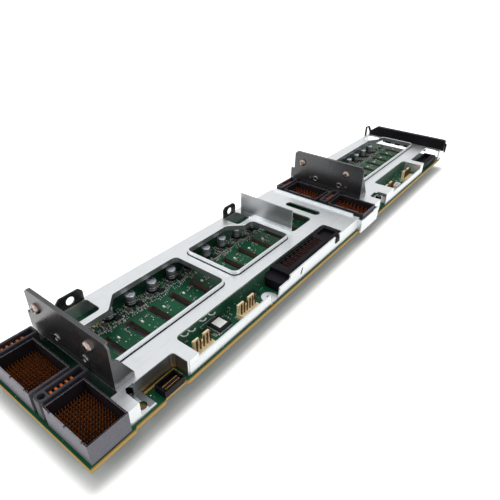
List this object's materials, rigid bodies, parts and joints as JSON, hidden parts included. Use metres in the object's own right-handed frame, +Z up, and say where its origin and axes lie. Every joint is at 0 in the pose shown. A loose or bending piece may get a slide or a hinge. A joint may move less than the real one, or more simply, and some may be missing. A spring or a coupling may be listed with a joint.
{
  "type": "drive backplane board",
  "caption": "Long backplane board for small server drives: circuit board with vent slots under a bent zinc tray, two upright brackets, open pin headers, power modules and a black end bar.",
  "frame": {"origin": "middle of the assembly's length and width, at the plane that the drive receptacles' guide posts rest on", "axes": "+X along the board from the end with the near headers to the end bar, +Y from the front edge with the pockets to the rear edge with the ear tabs, +Z up from the drives to the tray and brackets"},
  "size_m": [0.44, 0.09, 0.0482],
  "materials": {
    "board": "green solder mask over glass laminate",
    "zinc": "bright zinc plate",
    "bracket_steel": "satin",
    "screw_steel": "plated",
    "header_plastic": "moulded",
    "pin_field": "dull",
    "copper_contact": "bright",
    "can_aluminium": "satin",
    "black_plastic": "moulded",
    "cream_plastic": "moulded",
    "gold": "bright",
    "chip": "moulded"
  },
  "bodies": {
    "root": {"circuit_board": "board", "stiffener_tray": "zinc", "first_pocket_wall": "zinc", "chassis_foot": "zinc", "tray_ears": "zinc", "near_bracket": "bracket_steel", "mid_bracket": "bracket_steel", "bracket_screws": "screw_steel", "bracket_rivets": "screw_steel", "tray_screws": "screw_steel", "near_front_signal_header": "header_plastic", "near_front_power_module": "header_plastic", "near_rear_signal_header": "header_plastic", "near_rear_power_module": "header_plastic", "mid_front_signal_header": "header_plastic", "mid_front_power_module": "header_plastic", "mid_rear_signal_header": "header_plastic", "mid_rear_power_module": "header_plastic", "header_pins": "pin_field", "power_module_contacts": "copper_contact", "capacitor_cans": "can_aluminium", "capacitor_bases": "black_plastic", "first_front_header": "cream_plastic", "second_front_header": "cream_plastic", "third_front_header": "cream_plastic", "fourth_front_header": "cream_plastic", "front_header_pins": "gold", "power_connector": "black_plastic", "power_connector_blades": "copper_contact", "small_front_header": "cream_plastic", "mezzanine_connector": "black_plastic", "mezzanine_contacts": "gold", "far_connector": "black_plastic", "controller_chip": "chip", "small_chips": "chip", "end_bar": "black_plastic", "drive_receptacle_01": "black_plastic", "drive_receptacle_02": "black_plastic", "drive_receptacle_03": "black_plastic", "drive_receptacle_04": "black_plastic", "drive_receptacle_05": "black_plastic", "drive_receptacle_06": "black_plastic", "drive_receptacle_07": "black_plastic", "drive_receptacle_08": "black_plastic", "drive_receptacle_09": "black_plastic", "drive_receptacle_10": "black_plastic", "drive_receptacle_11": "black_plastic", "drive_receptacle_12": "black_plastic", "drive_receptacle_13": "black_plastic", "drive_receptacle_14": "black_plastic", "drive_receptacle_15": "black_plastic", "drive_receptacle_16": "black_plastic", "drive_receptacle_17": "black_plastic", "drive_receptacle_18": "black_plastic", "drive_receptacle_19": "black_plastic", "drive_receptacle_20": "black_plastic", "drive_receptacle_21": "black_plastic", "drive_receptacle_22": "black_plastic", "drive_receptacle_23": "black_plastic", "drive_receptacle_24": "black_plastic"}
  },
  "joints": []
}
